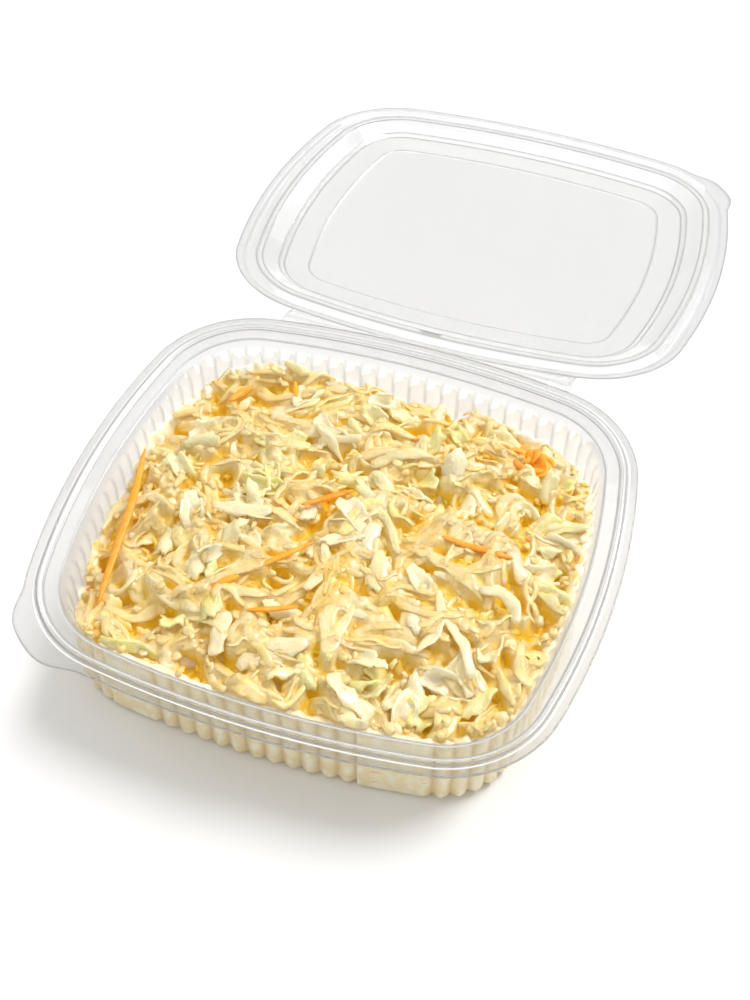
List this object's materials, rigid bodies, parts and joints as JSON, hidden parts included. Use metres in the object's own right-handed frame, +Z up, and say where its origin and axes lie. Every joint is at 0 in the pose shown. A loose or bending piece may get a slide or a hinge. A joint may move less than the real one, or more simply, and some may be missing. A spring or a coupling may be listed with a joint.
{
  "type": "coleslaw in a hinged deli tub",
  "caption": "Creamy coleslaw of cut cabbage and carrot heaped in a clear fluted tray, with its hinged clear lid lying open behind it.",
  "frame": {"origin": "middle of the tray's flat bottom, on the surface it stands on", "axes": "+Z up, +X to the right along the lid's hinge, +Y from the tray towards the open lid"},
  "size_m": [0.19, 0.3573, 0.0419],
  "materials": {
    "clear_plastic": "thin clear formed sheet with sharp highlights",
    "cabbage": "moist cut cabbage, ivory to pale yellow",
    "green_cabbage": "moist pale green cabbage leaf",
    "carrot": "moist grated carrot",
    "dressing": "creamy dressing with a soft wet gloss"
  },
  "bodies": {
    "tub": {"tray": "clear_plastic", "slaw": "cabbage"},
    "lid": {"lid": "clear_plastic"}
  },
  "joints": [
    {"name": "lid_hinge", "type": "hinge", "parent": "tub", "child": "lid", "pos_m": [0, 0.09105, 0.03585], "axis": [1, 0, 0], "range_deg": [0, 188.65]}
  ]
}
